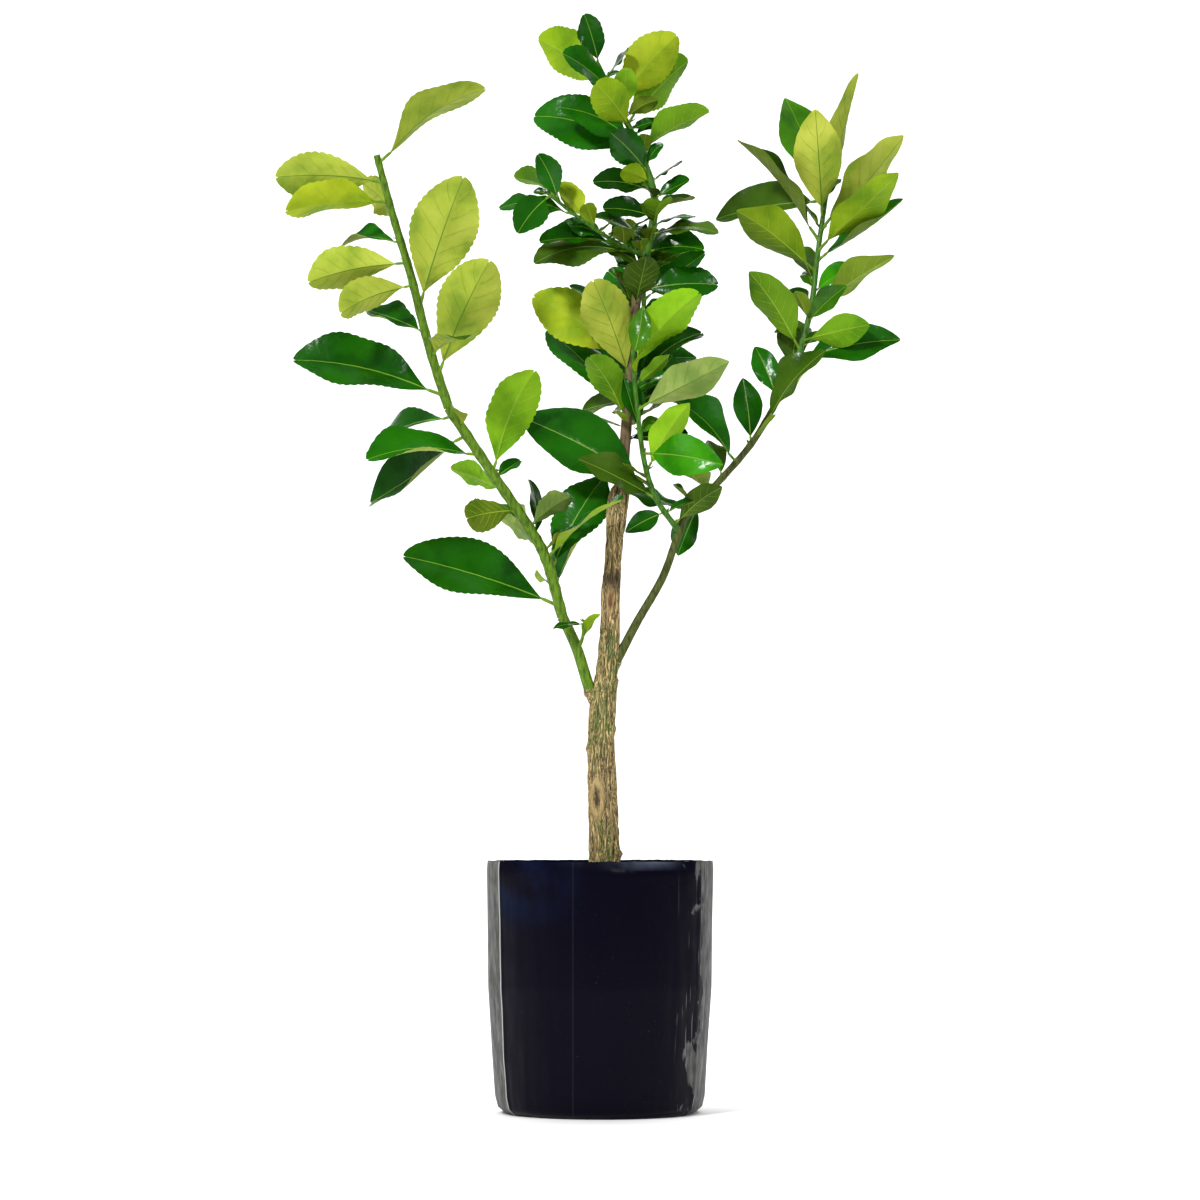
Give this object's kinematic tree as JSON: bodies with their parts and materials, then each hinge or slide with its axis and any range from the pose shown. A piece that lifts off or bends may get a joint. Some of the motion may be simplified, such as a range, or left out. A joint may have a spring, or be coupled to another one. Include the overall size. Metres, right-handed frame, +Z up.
{
  "type": "potted multi-grafted citrus tree",
  "caption": "Young multi-grafted citrus tree in a black film planter bag: one trunk, side boughs and a leader with separate leafy shoots, standing on a flat underside.",
  "frame": {"origin": "middle of the planter bag's flat underside, on the surface it stands on", "axes": "+Z up along the trunk, +X to the right and +Y away when the tree's broad face is seen from the front"},
  "size_m": [0.505, 0.2427, 0.88],
  "materials": {
    "bag_film": "gloss",
    "potting_mix": "matte",
    "trunk_bark": "matte",
    "green_bark": "satin",
    "olive_bark": "satin",
    "broad_leaves": "satin",
    "long_leaves": "satin",
    "small_leaves": "satin"
  },
  "bodies": {
    "root": {"planter_bag": "bag_film", "potting_mix": "potting_mix", "trunk": "trunk_bark", "left_bough": "green_bark", "right_bough": "olive_bark", "centre_leader": "olive_bark", "left_lower_foliage": "broad_leaves", "left_upper_foliage": "broad_leaves", "left_sprig": "long_leaves", "right_lower_foliage": "long_leaves", "right_upper_foliage": "long_leaves", "inner_shoot_foliage": "long_leaves", "centre_mid_foliage": "small_leaves", "centre_top_foliage": "small_leaves", "centre_side_foliage": "small_leaves", "centre_back_foliage": "small_leaves"}
  },
  "joints": []
}
